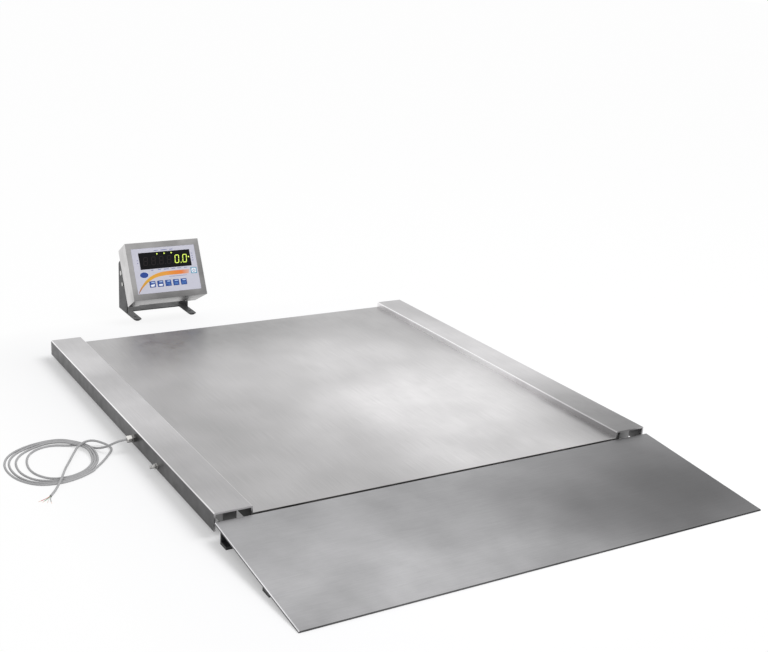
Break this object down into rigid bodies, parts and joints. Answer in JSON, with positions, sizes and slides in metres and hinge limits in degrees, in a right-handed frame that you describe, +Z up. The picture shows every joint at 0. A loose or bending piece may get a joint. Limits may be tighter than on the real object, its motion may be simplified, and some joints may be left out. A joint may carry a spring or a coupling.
{
  "type": "vehicle scale",
  "caption": "low-profile stainless drive-on floor scale with raised side beams, a lift-off access ramp, a coiled signal cable and a tilting weight display on a bracket",
  "frame": {"origin": "middle of the weighing platform in plan, on the floor; the ramp's toe and the back of the display's bracket lie equally far from it", "axes": "+X to the right across the drive lane, +Y from the ramp towards the back, +Z up"},
  "size_m": [1.5216, 2.043, 0.2515],
  "materials": {
    "deck_steel": "brushed stainless sheet",
    "beam_steel": "brushed stainless, folded",
    "frame_steel": "pickled stainless bar",
    "ramp_steel": "brushed stainless plate",
    "support_black": "matt black paint",
    "cell_metal": "machined, satin",
    "zinc_fasteners": "zinc plated",
    "nickel_gland": "nickel plated brass",
    "earth_hardware": "bright stainless",
    "knurled_steel": "bright, knurled",
    "box_plastic": "grey moulding",
    "seal_rubber": "black rubber",
    "clip_plastic": "black nylon",
    "board_green": "solder resist",
    "terminal_green": "moulded",
    "cable_grey": "soft sheath",
    "core_colours": "thin sheaths, one colour each",
    "case_steel": "brushed stainless",
    "panel_film": "satin printed film",
    "window_dark": "dark glossy lens",
    "digit_grey": "moulded",
    "lamp_green": "clear moulded",
    "switch_black": "moulded",
    "supply_yellow": "wound and taped",
    "battery_grey": "moulded",
    "key_blue": "satin",
    "key_teal": "satin",
    "bracket_black": "black powder coat"
  },
  "bodies": {
    "weighbridge": {"deck_plate": "deck_steel", "deck_ribs": "frame_steel", "edge_bars": "frame_steel", "side_beam_left": "beam_steel", "side_beam_right": "beam_steel", "cell_blocks": "frame_steel", "load_cells": "cell_metal", "load_cell_bolts": "zinc_fasteners", "foot_locknuts": "zinc_fasteners", "junction_box": "box_plastic", "junction_lid": "box_plastic", "junction_gasket": "seal_rubber", "junction_screws": "zinc_fasteners", "junction_board": "board_green", "terminal_blocks": "terminal_green", "junction_glands": "nickel_gland", "cell_cables": "cable_grey", "cross_conduit": "frame_steel", "cable_clips": "clip_plastic", "cable_gland": "nickel_gland", "gland_cap": "nickel_gland", "earth_stud": "earth_hardware", "earth_nut": "earth_hardware", "platform_cable_lead": "cable_grey", "platform_cable_tail": "cable_grey", "platform_cable_coil": "cable_grey", "cable_cores": "core_colours", "ramp_locators": "frame_steel", "bracket": "bracket_black", "bracket_feet": "seal_rubber", "pivot_bolts": "zinc_fasteners"},
    "ramp": {"ramp_plate": "ramp_steel", "ramp_supports": "support_black", "ramp_rubbers": "seal_rubber", "ramp_sockets": "support_black"},
    "foot_front_left": {"foot_front_left": "zinc_fasteners"},
    "foot_front_right": {"foot_front_right": "zinc_fasteners"},
    "foot_rear_left": {"foot_rear_left": "zinc_fasteners"},
    "foot_rear_right": {"foot_rear_right": "zinc_fasteners"},
    "indicator_case": {"case_hood": "case_steel", "membrane_panel": "panel_film", "display_window": "window_dark", "rear_cover": "case_steel", "cover_gasket": "seal_rubber", "cover_screws": "zinc_fasteners", "digit_modules": "digit_grey", "status_leds": "lamp_green", "main_board": "board_green", "tact_switches": "switch_black", "power_supply": "supply_yellow", "battery": "battery_grey", "rear_glands": "clip_plastic"},
    "clamp_screw_left": {"clamp_screw_left": "knurled_steel"},
    "clamp_screw_right": {"clamp_screw_right": "knurled_steel"},
    "key_1": {"key_1": "key_blue"},
    "key_2": {"key_2": "key_blue"},
    "key_3": {"key_3": "key_blue"},
    "key_4": {"key_4": "key_blue"},
    "key_5": {"key_5": "key_blue"},
    "power_key": {"power_key": "key_teal"}
  },
  "joints": [
    {"name": "foot_front_left_height", "type": "slide", "parent": "weighbridge", "child": "foot_front_left", "axis": [0, 0, -1], "range_m": [0, 0.006]},
    {"name": "foot_front_right_height", "type": "slide", "parent": "weighbridge", "child": "foot_front_right", "axis": [0, 0, -1], "range_m": [0, 0.006]},
    {"name": "foot_rear_left_height", "type": "slide", "parent": "weighbridge", "child": "foot_rear_left", "axis": [0, 0, -1], "range_m": [0, 0.006]},
    {"name": "foot_rear_right_height", "type": "slide", "parent": "weighbridge", "child": "foot_rear_right", "axis": [0, 0, -1], "range_m": [0, 0.006]},
    {"name": "ramp_lift_off", "type": "slide", "parent": "weighbridge", "child": "ramp", "axis": [0, 0, 1], "range_m": [0, 0.03]},
    {"name": "case_tilt", "type": "hinge", "parent": "weighbridge", "child": "indicator_case", "pos_m": [-0.15, 0.9715, 0.098], "axis": [-1, 0, 0], "range_deg": [-28, 14]},
    {"name": "clamp_left_turn", "type": "hinge", "parent": "indicator_case", "child": "clamp_screw_left", "pos_m": [-0.262, 0.97734, 0.13454], "axis": [-1, 0, 0], "continuous": true},
    {"name": "clamp_right_turn", "type": "hinge", "parent": "indicator_case", "child": "clamp_screw_right", "pos_m": [-0.038, 0.97734, 0.13454], "axis": [1, 0, 0], "continuous": true},
    {"name": "key_1_press", "type": "slide", "parent": "indicator_case", "child": "key_1", "axis": [0, 0.8829, -0.4695], "range_m": [0, 0.0004], "stiffness_N_per_m": 6000},
    {"name": "key_2_press", "type": "slide", "parent": "indicator_case", "child": "key_2", "axis": [0, 0.8829, -0.4695], "range_m": [0, 0.0004], "stiffness_N_per_m": 6000},
    {"name": "key_3_press", "type": "slide", "parent": "indicator_case", "child": "key_3", "axis": [0, 0.8829, -0.4695], "range_m": [0, 0.0004], "stiffness_N_per_m": 6000},
    {"name": "key_4_press", "type": "slide", "parent": "indicator_case", "child": "key_4", "axis": [0, 0.8829, -0.4695], "range_m": [0, 0.0004], "stiffness_N_per_m": 6000},
    {"name": "key_5_press", "type": "slide", "parent": "indicator_case", "child": "key_5", "axis": [0, 0.8829, -0.4695], "range_m": [0, 0.0004], "stiffness_N_per_m": 6000},
    {"name": "power_key_press", "type": "slide", "parent": "indicator_case", "child": "power_key", "axis": [0, 0.8829, -0.4695], "range_m": [0, 0.0004], "stiffness_N_per_m": 6000}
  ]
}
